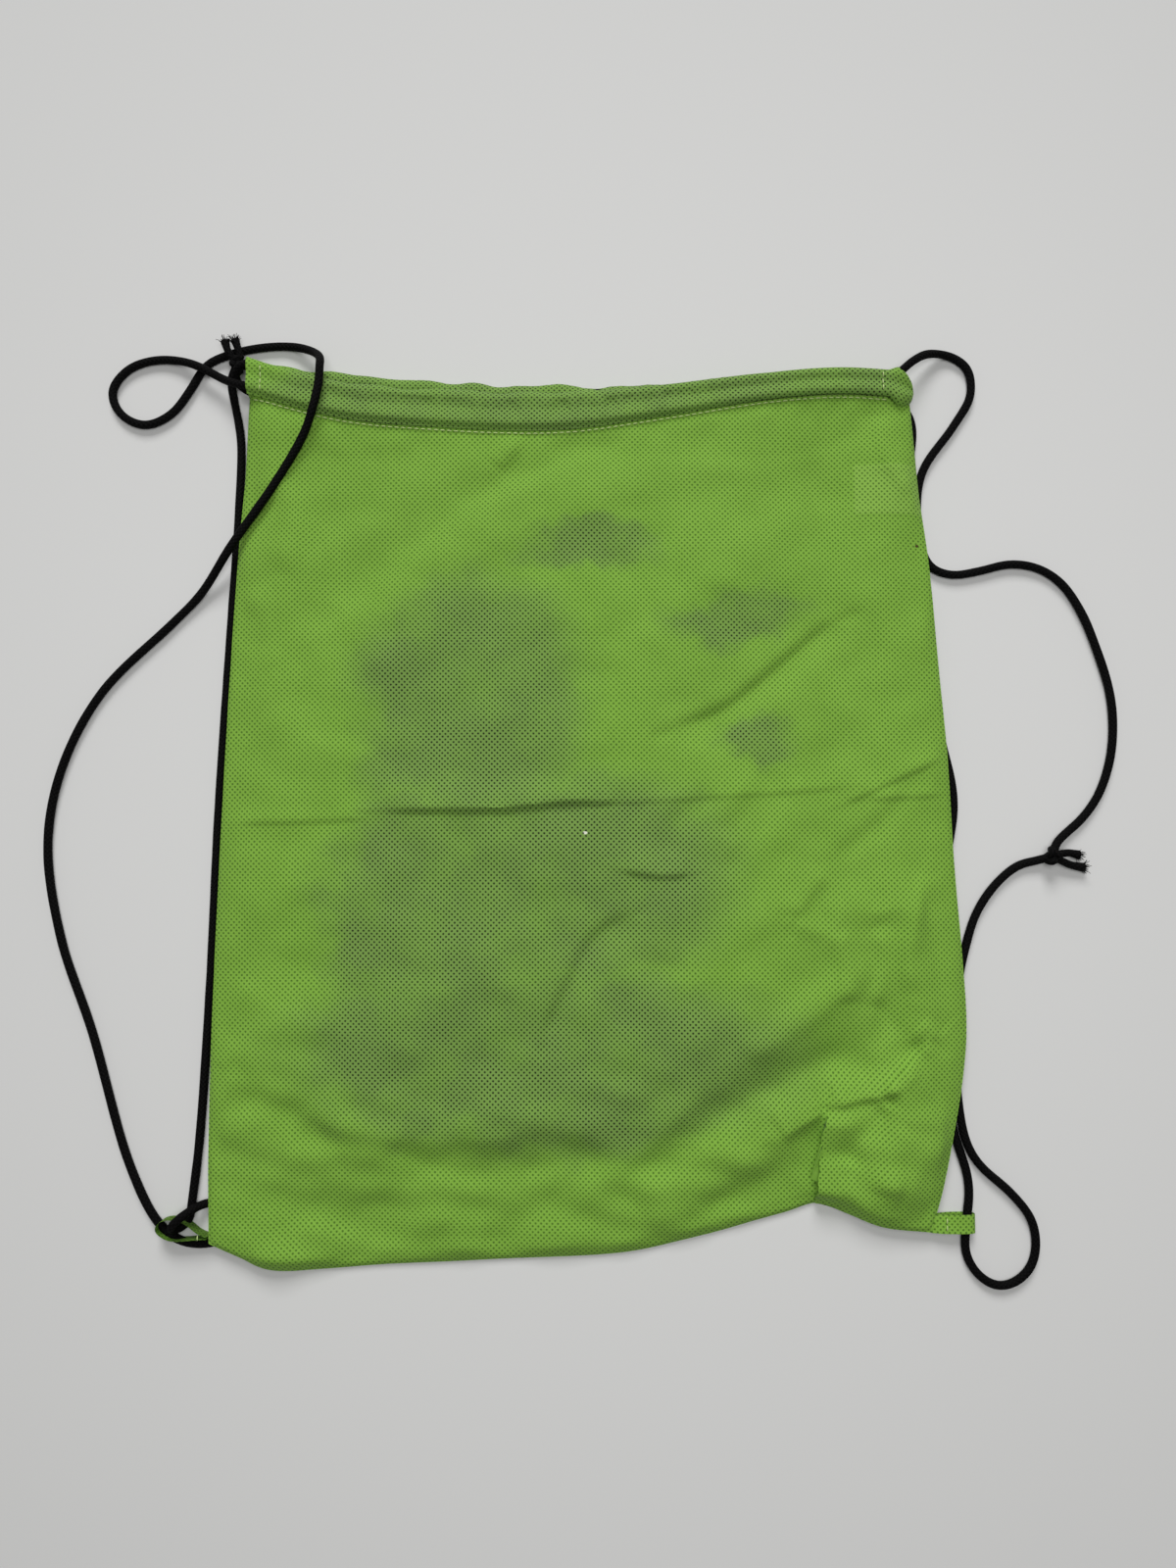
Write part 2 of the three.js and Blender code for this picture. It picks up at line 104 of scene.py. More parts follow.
RIGHT_ROUTE = [
    # the outer leg, up to the upper casing
    (0.2344, -0.0204, 0.0036), (0.239, -0.0162, 0.0023), (0.2485, -0.0077, 0.0021),
    (0.2569, 0.0046, 0.0021), (0.2632, 0.025, 0.0021), (0.2636, 0.05, 0.0021),
    (0.2567, 0.0763, 0.0021), (0.25, 0.0932, 0.0021), (0.2409, 0.1068, 0.0021),
    (0.2296, 0.1141, 0.0021), (0.2162, 0.116, 0.0021), (0.2013, 0.1126, 0.0021),
    (0.1878, 0.1107, 0.0021), (0.1776, 0.1146, 0.0021), (0.1732, 0.124, 0.0021),
    (0.1713, 0.14, 0.0021), (0.1744, 0.162, 0.0021), (0.1904, 0.1853, 0.0021), (0.199, 0.2006, 0.0021),
    (0.198, 0.2136, 0.0021), (0.1913, 0.2196, 0.0021), (0.1844, 0.2211, 0.0032),
    (0.176, 0.2193, 0.0074), (0.1675, 0.2135, 0.012), (0.158, 0.2059, 0.0138),
    # through the upper casing and round its left end
    (0.132, 0.2072, 0.0138), (0.098, 0.2046, 0.0138), (0.05, 0.1988, 0.0138), (-0.005, 0.1942, 0.0138),
    (-0.07, 0.1957, 0.0138), (-0.112, 0.1999, 0.0138), (-0.15, 0.2102, 0.0138),
    (-0.1572, 0.2124, 0.0129), (-0.1618, 0.2094, 0.0102), (-0.1623, 0.206, 0.0066),
    (-0.1576, 0.2022, 0.0032),
    # back through the lower casing
    (-0.15, 0.201, 0.003), (-0.112, 0.1957, 0.003), (-0.057, 0.1902, 0.003), (-0.005, 0.1883, 0.003),
    (0.06, 0.1909, 0.003), (0.098, 0.1947, 0.003), (0.132, 0.1968, 0.003), (0.158, 0.1966, 0.003),
    # down under the side edge, through the tab, a loop on the table, and back to the knot
    (0.1668, 0.1926, 0.0022), (0.1699, 0.184, 0.0021), (0.1685, 0.168, 0.0021),
    (0.1653, 0.135, 0.0021), (0.1663, 0.115, 0.0021), (0.1693, 0.085, 0.0021), (0.18, 0.034, 0.0021),
    (0.1863, 0, 0.0021), (0.1812, -0.033, 0.0021), (0.176, -0.08, 0.0021), (0.179, -0.13, 0.0021),
    (0.1832, -0.157, 0.0021), (0.1888, -0.176, 0.0021), (0.1894, -0.185, 0.0025),
    (0.1882, -0.1936, 0.003), (0.1872, -0.2025, 0.003), (0.1872, -0.211, 0.0021),
    (0.1898, -0.2179, 0.0021), (0.1952, -0.2241, 0.0021), (0.2025, -0.2273, 0.0021),
    (0.2104, -0.2254, 0.0021), (0.2174, -0.219, 0.0021), (0.2204, -0.209, 0.0021),
    (0.2186, -0.197, 0.0021), (0.2095, -0.185, 0.0021), (0.196, -0.173, 0.0021),
    (0.1909, -0.166, 0.0021), (0.1876, -0.157, 0.0021), (0.1846, -0.13, 0.0021),
    (0.1858, -0.092, 0.0021), (0.1914, -0.0663, 0.0021), (0.1964, -0.0528, 0.0021),
    (0.2057, -0.0397, 0.0021), (0.2167, -0.0308, 0.0021), (0.2266, -0.0282, 0.003),
]


# ---- Lines and waves ----
def smooth_line(points, step):
    """Points about step apart along a smooth line through the given ones."""
    p = np.array(points, float)
    p = np.vstack([2 * p[0] - p[1], p, 2 * p[-1] - p[-2]])
    found = []
    for a, b, c, d in zip(p, p[1:], p[2:], p[3:]):
        t1 = max(np.linalg.norm(b - a), 1e-6) ** 0.5
        t2 = t1 + max(np.linalg.norm(c - b), 1e-6) ** 0.5
        t3 = t2 + max(np.linalg.norm(d - c), 1e-6) ** 0.5
        t = np.linspace(t1, t2, 40, endpoint=False)[:, None]
        ab = a * (t1 - t) / t1 + b * t / t1
        bc = b * (t2 - t) / (t2 - t1) + c * (t - t1) / (t2 - t1)
        cd = c * (t3 - t) / (t3 - t2) + d * (t - t2) / (t3 - t2)
        abc = ab * (t2 - t) / t2 + bc * t / t2
        bcd = bc * (t3 - t) / (t3 - t1) + cd * (t - t1) / (t3 - t1)
        found.append(abc * (t2 - t) / (t2 - t1) + bcd * (t - t1) / (t2 - t1))
    found.append(p[-2:-1])
    return spaced(np.vstack(found), step=step)


def spaced(line, step=None, count=None):
    """The same line with its points evenly spaced along it."""
    run = np.concatenate([[0], np.cumsum(np.linalg.norm(np.diff(line, axis=0), axis=1))])
    count = count or max(2, int(round(run[-1] / step)) + 1)
    at = np.linspace(0, run[-1], count)
    return np.stack([np.interp(at, run, line[:, k]) for k in range(line.shape[1])], axis=1)


def relaxed(line, reach, passes=3):
    """The line with its kinks worn away over that many points, its ends held."""
    line = line.copy()
    weights = np.hanning(2 * reach + 3)[1:-1]
    weights /= weights.sum()
    for _ in range(passes):
        padded = np.pad(line, ((reach, reach), (0, 0)), mode="reflect", reflect_type="odd")
        line = np.stack([np.convolve(padded[:, k], weights, mode="valid") for k in range(3)], axis=1)
    return line


def ease(x, low, high):
    t = np.clip((x - low) / (high - low), 0, 1)
    return t * t * (3 - 2 * t)


def waves(x, y, size, seed, count=14):
    """Smooth random ripples about size across, mostly between -1 and 1."""
    rng = np.random.default_rng(seed)
    total = np.zeros(np.broadcast(x, y).shape)
    for _ in range(count):
        angle = rng.uniform(0, 2 * math.pi)
        wave = 2 * math.pi / (size * rng.uniform(1.2, 2.6))
        phase = rng.uniform(0, 2 * math.pi)
        total = total + np.cos(wave * (x * math.cos(angle) + y * math.sin(angle)) + phase)
    return total / math.sqrt(count)


# ---- Meshes ----
def bend_grid(bm, at, uvs):
    """Adds a grid to bm, bent so that its rows and columns lie at the points in at, with UVs to match."""
    rows, columns = at.shape[:2]
    layer = bm.loops.layers.uv.get("UVMap") or bm.loops.layers.uv.new("UVMap")
    made = bmesh.ops.create_grid(bm, x_segments=columns - 1, y_segments=rows - 1, size=0.5)["verts"]
    bm.verts.index_update()
    cell = {}
    for v in made:
        i = round((v.co.y + 0.5) * (rows - 1))
        j = round((v.co.x + 0.5) * (columns - 1))
        cell[v.index] = (i, j)
        v.co = at[i, j]
    faces = {face for v in made for face in v.link_faces}
    for face in faces:
        for loop in face.loops:
            loop[layer].uv = uvs[cell[loop.vert.index]]
    return made


def piece(bm, name, material, sharp=None):
    """A finished, smooth-shaded object from bm. Edges bent by more than sharp degrees stay crisp."""
    if sharp:
        for edge in bm.edges:
            if len(edge.link_faces) == 2 and edge.calc_face_angle(0) > math.radians(sharp):
                edge.smooth = False
    mesh = bpy.data.meshes.new(name)
    bm.to_mesh(mesh)
    bm.free()
    mesh.shade_smooth()
    mesh.materials.append(material)
    obj = bpy.data.objects.new(name, mesh)
    bpy.context.scene.collection.objects.link(obj)
    return obj


def frames_along(line):
    """At each point of a line, two directions across it that don't twist."""
    along = np.gradient(line, axis=0)
    along /= np.linalg.norm(along, axis=1)[:, None]
    side = np.cross(along[0], (0, 0, 1))
    if np.linalg.norm(side) < 0.1:
        side = np.cross(along[0], (0, 1, 0))
    sides = []
    for t in along:
        side = side - t * np.dot(side, t)
        side = side / np.linalg.norm(side)
        sides.append(side)
    sides = np.array(sides)
    return sides, np.cross(sides, along)


def add_tube(bm, line, radius, around):
    """Adds a closed round tube along a line to bm. U runs once round it, V in metres along it."""
    line = np.array(line, float)
    first, second = frames_along(line)
    angle = np.linspace(0, 2 * math.pi, around + 1)
    radius = np.broadcast_to(np.array(radius, float), (len(line),))[:, None, None]
    ring = np.cos(angle)[None, :, None] * first[:, None, :]
    ring = ring + np.sin(angle)[None, :, None] * second[:, None, :]
    run = np.concatenate([[0], np.cumsum(np.linalg.norm(np.diff(line, axis=0), axis=1))])
    uvs = np.stack(np.broadcast_arrays((angle / (2 * math.pi))[None, :], run[:, None]), axis=-1)
    made = bend_grid(bm, line[:, None, :] + radius * ring, uvs)
    bmesh.ops.remove_doubles(bm, verts=made, dist=1e-7)
    made = [v for v in made if v.is_valid]
    ends = [e for v in made for e in v.link_edges if e.is_boundary]
    bmesh.ops.holes_fill(bm, edges=list(set(ends)), sides=0)


def tube(name, line, radius, around, material):
    bm = bmesh.new()
    add_tube(bm, line, radius, around)
    bmesh.ops.recalc_face_normals(bm, faces=bm.faces)
    return piece(bm, name, material, sharp=70)


# ---- Materials ----
def paint(code):
    """The linear colour of an sRGB hex value."""
    parts = [int(code[k : k + 2], 16) / 255 for k in (1, 3, 5)]
    return [c / 12.92 if c <= 0.04045 else ((c + 0.055) / 1.055) ** 2.4 for c in parts] + [1]


def add(tree, kind, inputs=(), **settings):
    """Adds a node with its settings, its input values and its links, and returns it."""
    node = tree.nodes.new("ShaderNode" + kind)
    for key, value in settings.items():
        setattr(node, key, value)
    for key, value in dict(inputs).items():
        if isinstance(value, bpy.types.NodeSocket):
            tree.links.new(value, node.inputs[key])
        else:
            node.inputs[key].default_value = value
    return node


def start(name, roughness, **values):
    """An empty material with one surface shader, and that shader."""
    material = bpy.data.materials.new(name)
    material.use_nodes = True
    tree = material.node_tree
    tree.nodes.clear()
    shader = add(tree, "BsdfPrincipled", {"Roughness": roughness, **values})
    add(tree, "OutputMaterial", {"Surface": shader.outputs["BSDF"]})
    return material, tree, shader


def blot(tree, where, middle, reach, edge):
    """1 within an oval of that middle and reach on the UV map, fading to 0 past its edge."""
    off = add(tree, "VectorMath", {0: where, 1: (*middle, 0)}, operation="SUBTRACT")
    shrink = (1 / reach[0], 1 / reach[1], 0)
    scaled = add(tree, "VectorMath", {0: off.outputs[0], 1: shrink}, operation="MULTIPLY")
    far = add(tree, "VectorMath", {0: scaled.outputs[0]}, operation="LENGTH")
    fade = {0: far.outputs["Value"], 1: 1 - edge, 2: 1 + edge, 3: 1.0, 4: 0.0}
    return add(tree, "MapRange", fade, interpolation_type="SMOOTHSTEP").outputs[0]


SOFT = 0.0006  # half the width of the label's blurred edge
BACKED = 0.4  # how much paler the cloth is over the label


def blot_box(tree, split, low, high):
    """Soft-edged rectangle between two corners on the UV map, at most as strong as BACKED."""
    sides = []
    for k in (0, 1):
        rise = {0: split.outputs[k], 1: low[k] - SOFT, 2: low[k] + SOFT}
        fall = {0: split.outputs[k], 1: high[k] - SOFT, 2: high[k] + SOFT, 3: 1.0, 4: 0.0}
        up = add(tree, "MapRange", rise)
        down = add(tree, "MapRange", fall)
        both = {0: up.outputs[0], 1: down.outputs[0]}
        sides.append(add(tree, "Math", both, operation="MULTIPLY").outputs[0])
    box = add(tree, "Math", {0: sides[0], 1: sides[1]}, operation="MULTIPLY").outputs[0]
    return add(tree, "Math", {0: box, 1: BACKED}, operation="MULTIPLY").outputs[0]


# The dots are 1.85 mm apart in rows that lean 45 degrees, so straight up they repeat every 2.62 mm.
DOT_REPEAT = 0.00262
PIT_DEPTH = 0.76  # how far a dot goes from the colour of the face to that of the pit


def spunbond(name, marks=(), panel=False):
    """Spunbond polypropylene, point-bonded by a hot embossed roller: matt, faintly fibrous, and pitted all
    over with small darker dots in staggered rows. Where ink or a black cord lies behind it, the marks show
    through as grey-green shade, deepest in the dots."""
    gloss = {"Specular IOR Level": 0.25, "IOR": 1.49, "Sheen Weight": 0.04}
    material, tree, shader = start(name, 0.82, **gloss)
    uv = add(tree, "UVMap", uv_map="UVMap").outputs[0]
    split = add(tree, "SeparateXYZ", {0: uv})
    across = add(tree, "Math", {0: split.outputs[0], 1: 2 * math.pi / DOT_REPEAT}, operation="MULTIPLY")
    along = add(tree, "Math", {0: split.outputs[1], 1: 2 * math.pi / DOT_REPEAT}, operation="MULTIPLY")
    row = add(tree, "Math", {0: across.outputs[0]}, operation="COSINE")
    column = add(tree, "Math", {0: along.outputs[0]}, operation="COSINE")
    lattice = add(tree, "Math", {0: row.outputs[0], 1: column.outputs[0]}, operation="MULTIPLY")
    # Fibres about 1 mm long, and cloudy patches where they lie thicker.
    fibre = add(tree, "TexNoise", {"Vector": uv, "Scale": 1100.0, "Detail": 3.0, "Roughness": 0.7})
    cloud = add(tree, "TexNoise", {"Vector": uv, "Scale": 38.0, "Detail": 4.0, "Roughness": 0.6})
    rough_lattice = add(tree, "Math", {0: fibre.outputs[0], 1: 1.1, 2: -0.55}, operation="MULTIPLY_ADD")
    uneven = add(tree, "Math", {0: lattice.outputs[0], 1: rough_lattice.outputs[0]}, operation="ADD")
    rim = {0: uneven.outputs[0], 1: 0.2, 2: 0.75}
    dot = add(tree, "MapRange", rim, interpolation_type="SMOOTHSTEP").outputs[0]
    greens = {0: cloud.outputs[0], 6: paint("#6f9f2f"), 7: paint("#80b03d")}
    mottled = add(tree, "Mix", greens, data_type="RGBA")
    speck = add(tree, "MapRange", {0: fibre.outputs[0], 1: 0.3, 2: 0.75, 3: 0.0, 4: 0.45}).outputs[0]
    flecked = {0: speck, 6: mottled.outputs[2], 7: paint("#9ac85a")}
    face = add(tree, "Mix", flecked, data_type="RGBA").outputs[2]
    pit_colour = paint("#345a10")
    depth = PIT_DEPTH
    if marks:
        drift = add(tree, "TexNoise", {"Vector": uv, "Scale": 26.0, "Detail": 5.0, "Roughness": 0.62})
        centred = {0: drift.outputs["Color"], 1: (0.5, 0.5, 0.5)}
        push = add(tree, "VectorMath", centred, operation="SUBTRACT")
        pushed = add(tree, "VectorMath", {0: push.outputs[0], 1: (0.05, 0.05, 0)}, operation="MULTIPLY")
        where = add(tree, "VectorMath", {0: uv, 1: pushed.outputs[0]}, operation="ADD").outputs[0]
        ovals = [blot(tree, where, *mark) for mark in marks]
        ink = ovals[0]
        for oval in ovals[1:]:
            ink = add(tree, "Math", {0: ink, 1: oval}, operation="MAXIMUM").outputs[0]
        thin = add(tree, "MapRange", {0: drift.outputs[0], 1: 0.34, 2: 0.56, 3: 0.6, 4: 1.0}).outputs[0]
        ink = add(tree, "Math", {0: ink, 1: thin}, operation="MULTIPLY").outputs[0]
        shade = add(tree, "Math", {0: ink, 1: 0.55}, operation="MULTIPLY").outputs[0]
        face = add(tree, "Mix", {0: shade, 6: face, 7: paint("#6d8550")}, data_type="RGBA").outputs[2]
        pit = add(tree, "Mix", {0: ink, 6: pit_colour, 7: paint("#141f07")}, data_type="RGBA")
        pit_colour = pit.outputs[2]
        depth = add(tree, "MapRange", {0: ink, 3: PIT_DEPTH, 4: 0.97}).outputs[0]
    if panel:
        # The label sewn inside the right seam backs the cloth, so it looks paler there.
        label = blot_box(tree, split, *LABEL_SPAN)
        face = add(tree, "Mix", {0: label, 6: face, 7: paint("#95bf57")}, data_type="RGBA").outputs[2]
        for middle, reach, colour in SPECKS:
            spot = blot(tree, uv, middle, reach, 0.3)
            face = add(tree, "Mix", {0: spot, 6: face, 7: paint(colour)}, data_type="RGBA").outputs[2]
    strength = add(tree, "Math", {0: dot, 1: depth}, operation="MULTIPLY").outputs[0]
    colour = add(tree, "Mix", {0: strength, 6: face, 7: pit_colour}, data_type="RGBA").outputs[2]
    tree.links.new(colour, shader.inputs["Base Color"])
    # The pits are about 0.1 mm deep.
    pitted = add(tree, "Math", {0: fibre.outputs[0], 1: 0.35}, operation="MULTIPLY")
    height = add(tree, "Math", {0: pitted.outputs[0], 1: dot}, operation="SUBTRACT")
    bump = add(tree, "Bump", {"Strength": 0.75, "Distance": 0.00022, "Height": height.outputs[0]})
    tree.links.new(bump.outputs[0], shader.inputs["Normal"])
    return material


# Soft ovals, together a plain blotch, where the far side's print shows: middle, reach and softness.
PRINT_GHOST = [
    ((-0.045, 0.045), (0.052, 0.062), 0.3),
    ((0.002, -0.035), (0.075, 0.05), 0.3),
    ((-0.06, -0.05), (0.055, 0.055), 0.3),
    ((-0.01, -0.12), (0.115, 0.042), 0.3),
    ((0.083, 0.088), (0.03, 0.011), 0.5),
    ((0.088, 0.03), (0.018, 0.009), 0.5),
    ((0.01, 0.125), (0.034, 0.008), 0.5),
]
LABEL_SPAN = ((0.139, 0.1385), (0.172, 0.1625))  # the label behind the cloth, corner to corner
SPECKS = [((0.1695, 0.1235), (0.0009, 0.0007), "#4a3a1c"), ((0.0087, -0.0155), (0.0011, 0.0007), "#e8ecd8")]

# Where the drawcords show through the casings, along the mouth.
CORD_SHADE = [((-0.02, 0.196), (0.128, 0.04), 0.25), ((0.105, 0.206), (0.062, 0.034), 0.25)]
plain_cloth = spunbond("spunbond polypropylene")
printed_cloth = spunbond("spunbond polypropylene, printed behind", PRINT_GHOST, panel=True)
casing_cloth = spunbond("spunbond polypropylene, cords behind", CORD_SHADE)


def braid(name):
    """Black braided polypropylene cord: its strands cross at a slant in raised lozenges. Matt, with a
    painted highlight on the lozenges and painted shade in the gaps between them.
    """
    material, tree, shader = start(name, 0.75, **{"Specular IOR Level": 0.09, "IOR": 1.49})
    split = add(tree, "SeparateXYZ", {0: add(tree, "UVMap", uv_map="UVMap").outputs[0]})
    # Six crossings round the cord, and one every 2.2 mm along it.
    turn = add(tree, "Math", {0: split.outputs[0], 1: 2 * math.pi * 6}, operation="MULTIPLY")
    run = add(tree, "Math", {0: split.outputs[1], 1: 2 * math.pi / 0.0022}, operation="MULTIPLY")
    one = add(tree, "Math", {0: turn.outputs[0]}, operation="COSINE")
    other = add(tree, "Math", {0: run.outputs[0]}, operation="COSINE")
    lozenge = add(tree, "Math", {0: one.outputs[0], 1: other.outputs[0]}, operation="MULTIPLY").outputs[0]
    place = add(tree, "TexCoord").outputs["Object"]
    fuzz = add(tree, "TexNoise", {"Vector": place, "Scale": 1400.0, "Detail": 3.0})
    swell = {0: lozenge, 1: -0.6, 2: 0.9}
    raised = add(tree, "MapRange", swell, interpolation_type="SMOOTHSTEP").outputs[0]
    # Painted highlight and shade: the raised strands are painted a touch lighter, the gaps between them near
    # black.
    lit_and_shaded_blacks = {0: raised, 6: paint("#020202"), 7: paint("#0c0b0c")}
    colour = add(tree, "Mix", lit_and_shaded_blacks, data_type="RGBA").outputs[2]
    tree.links.new(colour, shader.inputs["Base Color"])
    height = add(tree, "Math", {0: fuzz.outputs[0], 1: 0.4, 2: raised}, operation="MULTIPLY_ADD").outputs[0]
    bump = add(tree, "Bump", {"Strength": 0.8, "Distance": 0.0003, "Height": height})
    tree.links.new(bump.outputs[0], shader.inputs["Normal"])
    return material


def spun(name, dark, pale, roughness, grain):
    """Twisted yarn or woven tape: two close colours streaked at the grain given, in metres."""
    material, tree, shader = start(name, roughness, **{"Specular IOR Level": 0.3, "Sheen Weight": 0.2})
    place = add(tree, "TexCoord").outputs["Object"]
    bands = {"Vector": place, "Scale": 0.31 / grain, "Distortion": 1.5, "Detail": 2.0}
    streak = add(tree, "TexWave", bands)
    shades = {0: streak.outputs[1], 6: paint(dark), 7: paint(pale)}
    colour = add(tree, "Mix", shades, data_type="RGBA").outputs[2]
    tree.links.new(colour, shader.inputs["Base Color"])
    bump = add(tree, "Bump", {"Strength": 0.5, "Distance": grain / 4, "Height": streak.outputs[1]})
    tree.links.new(bump.outputs[0], shader.inputs["Normal"])
    return material


cord_finish = braid("braided polypropylene cord")
thread_finish = spun("polyester sewing thread", "#b3cf74", "#d9eba6", 0.6, 0.0005)
label_finish = spun("woven polyester label tape", "#dcdfd8", "#f2f3ee", 0.7, 0.0006)


# ---- Drawcords ----
def lay_cord(route, knot):
    """The line a cord follows along its route, above the table, with both its ends run into its knot."""
    low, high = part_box(knot)
    heart = (np.array(low) + np.array(high)) / 2
    first, last = np.array(route[0]), np.array(route[-1])
    route = [first + 0.7 * (heart - first), *route, last + 0.7 * (heart - last)]
    line = smooth_line(route, 0.0008)
    line = relaxed(line, 4)
    line[:, 2] = np.maximum(line[:, 2], CORD / 2 + 0.0001)
    return spaced(line, step=0.0009)


left_line = lay_cord(LEFT_ROUTE, "left_knot")
right_line = lay_cord(RIGHT_ROUTE, "right_knot")


def plump(line, seed):
    """The cord's radius along a line: the braid is a little uneven."""
    run = np.arange(len(line)) * 0.0009
    return CORD / 2 * (1 + 0.015 * waves(run, 0, 0.012, seed))


left_cord = tube("left_drawcord_braid", left_line, plump(left_line, 3), 14, cord_finish)
right_cord = tube("right_drawcord_braid", right_line, plump(right_line, 4), 14, cord_finish)


def overhand(name, node, turn, thick):
    """Two cords pulled tight into an overhand knot, inside the CAD knot's box."""
    low, high = (np.array(c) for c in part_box(node))
    t = np.linspace(0, 2 * math.pi, 121)
    across, up, over = np.sin(t) + 2 * np.sin(2 * t), np.cos(t) - 2 * np.cos(2 * t), -np.sin(3 * t)
    room = (high - low) / 2 - thick
    loop = np.stack([across / 3, up / 3, over], axis=1) * room
    spin = np.array(Matrix.Rotation(turn, 3, "Z"))
    line = spaced(loop @ spin.T, count=140) + (low + high) / 2
    uneven = 1 + 0.04 * waves(np.linspace(0, 0.14, 140), 0, 0.02, 2)
    return tube(name, line, thick * uneven, 12, cord_finish)


left_knot = overhand("left_knot_turns", "left_knot", 0.4, 0.0018)
right_knot = overhand("right_knot_turns", "right_knot", 1.3, 0.0018)


def frayed_tail(name, points, seed):
    """A cut cord end: the braid opens over its last few millimetres into loose fibres."""
    rng = np.random.default_rng(seed)
    line = smooth_line(points, 0.0005)
    count = len(line)
    radius = 0.0018 * (1 + 0.22 * ease(np.arange(count), count * 0.55, count - 1))
    bm = bmesh.new()
    add_tube(bm, line, radius, 12)
    out = line[-1] - line[-4]
    out /= np.linalg.norm(out)
    for _ in range(46):
        spread = rng.normal(0, 1, 3)
        spread -= out * np.dot(spread, out)
        spread /= max(np.linalg.norm(spread), 1e-6)
        root = line[-1] - out * 0.0012 + spread * 0.0019 * math.sqrt(rng.uniform(0.05, 1))
        reach = rng.uniform(0.0016, 0.0034)
        bow = rng.normal(0, 0.0004, 3)
        steps = np.linspace(0, 1, 6)[:, None]
        splay = spread * reach * rng.uniform(0.1, 0.8) + bow
        fibre = root + out * steps * reach + splay * steps**2
        fibre[:, 2] = np.maximum(fibre[:, 2], 0.0003)
        add_tube(bm, fibre, np.linspace(0.00016, 0.0001, 6), 4)
    bmesh.ops.recalc_face_normals(bm, faces=bm.faces)
    return piece(bm, name, cord_finish, sharp=70)


TAILS = {
    "left_knot_tail_a": [(-0.1642, 0.2172, 0.0062), (-0.1668, 0.2214, 0.0069), (-0.1684, 0.2262, 0.0066)],
    "left_knot_tail_b": [(-0.1606, 0.2176, 0.0062), (-0.1618, 0.2222, 0.0069), (-0.1634, 0.2268, 0.0066)],
    "right_knot_tail_a": [(0.2352, -0.0254, 0.0052), (0.2406, -0.0249, 0.0038), (0.2456, -0.0258, 0.0026)],
    "right_knot_tail_b": [(0.2346, -0.0278, 0.005), (0.2414, -0.0306, 0.0034), (0.2478, -0.0318, 0.0024)],
}
tails = {}
for seed, (node, points) in enumerate(TAILS.items(), 20):
    tails[node] = frayed_tail(node + "_frayed", points, seed)

for side, cord, knot, line in (
    ("left", left_cord, left_knot, left_line),
    ("right", right_cord, right_knot, right_line),
):
    body = side + "_cord"
    ends = [tails[side + "_knot_tail_a"], tails[side + "_knot_tail_b"]]
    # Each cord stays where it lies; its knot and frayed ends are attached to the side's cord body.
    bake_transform(cord)
    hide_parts(side + "_drawcord")
    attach(knot, body)
    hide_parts(side + "_knot")
    for end, letter in zip(ends, "ab"):
        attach(end, body)
        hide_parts(side + "_knot_tail_" + letter)


# ---- Bag body: two panels and two casings, each cut down the middle into two halves ----
LEFT_EDGE = [
    (-0.167, -0.207), (-0.168, -0.17), (-0.168, -0.12), (-0.165, 0), (-0.16, 0.118), (-0.157, 0.16),
    (-0.155, 0.1971),
]
RIGHT_EDGE = [
    (0.1705, -0.202), (0.177, -0.18), (0.1875, -0.126), (0.189, -0.103), (0.1845, -0.022), (0.183, 0.018),
    (0.1795, 0.065), (0.176, 0.113), (0.1715, 0.15), (0.167, 0.1941),
]
BOTTOM_FOLD = [
    (-0.167, -0.207), (-0.153, -0.213), (-0.137, -0.2195), (-0.081, -0.2175), (-0.026, -0.215),
    (0.028, -0.212), (0.065, -0.204), (0.102, -0.194), (0.119, -0.1895), (0.132, -0.194), (0.148, -0.1995),
    (0.1705, -0.202),
]
FRONT_MOUTH = [
    (-0.155, 0.1976), (-0.112, 0.1917), (-0.057, 0.186), (-0.005, 0.184), (0.06, 0.187),
    (0.098, 0.192), (0.132, 0.1942), (0.16, 0.194), (0.167, 0.1938),
]
BACK_MOUTH = [
    (-0.155, 0.1968), (-0.112, 0.1854), (-0.07, 0.1808), (-0.005, 0.1789), (0.05, 0.1863),
    (0.098, 0.1942), (0.132, 0.1968), (0.16, 0.1952), (0.167, 0.1944),
]
# How tall each casing is along the mouth, as a share of its full 21 mm: x, share.
FRONT_TALL = ([-0.155, -0.112, -0.057, -0.005, 0.06, 0.098, 0.16], [0.92, 0.94, 0.98, 1, 0.9, 0.62, 0.6])
BACK_TALL = ([-0.155, -0.112, -0.07, -0.005, 0.05, 0.098, 0.16], [0.86, 0.84, 0.86, 0.885, 0.72, 0.6, 0.6])
ACROSS = 265  # points across a panel
UP = 295  # points up it
EDGE_LIFT = 0.0044  # the cords hold the side edges off the table
FRONT_CORD_Z = 0.003  # middle of the cords in the lower casing
BACK_CORD_Z = 0.0138  # and in the upper one

# The crease that runs up from the notch in the bottom fold, and leans over.
LIP = [(0.1231, -0.1415), (0.1215, -0.163), (0.1200, -0.180), (0.1191, -0.192)]

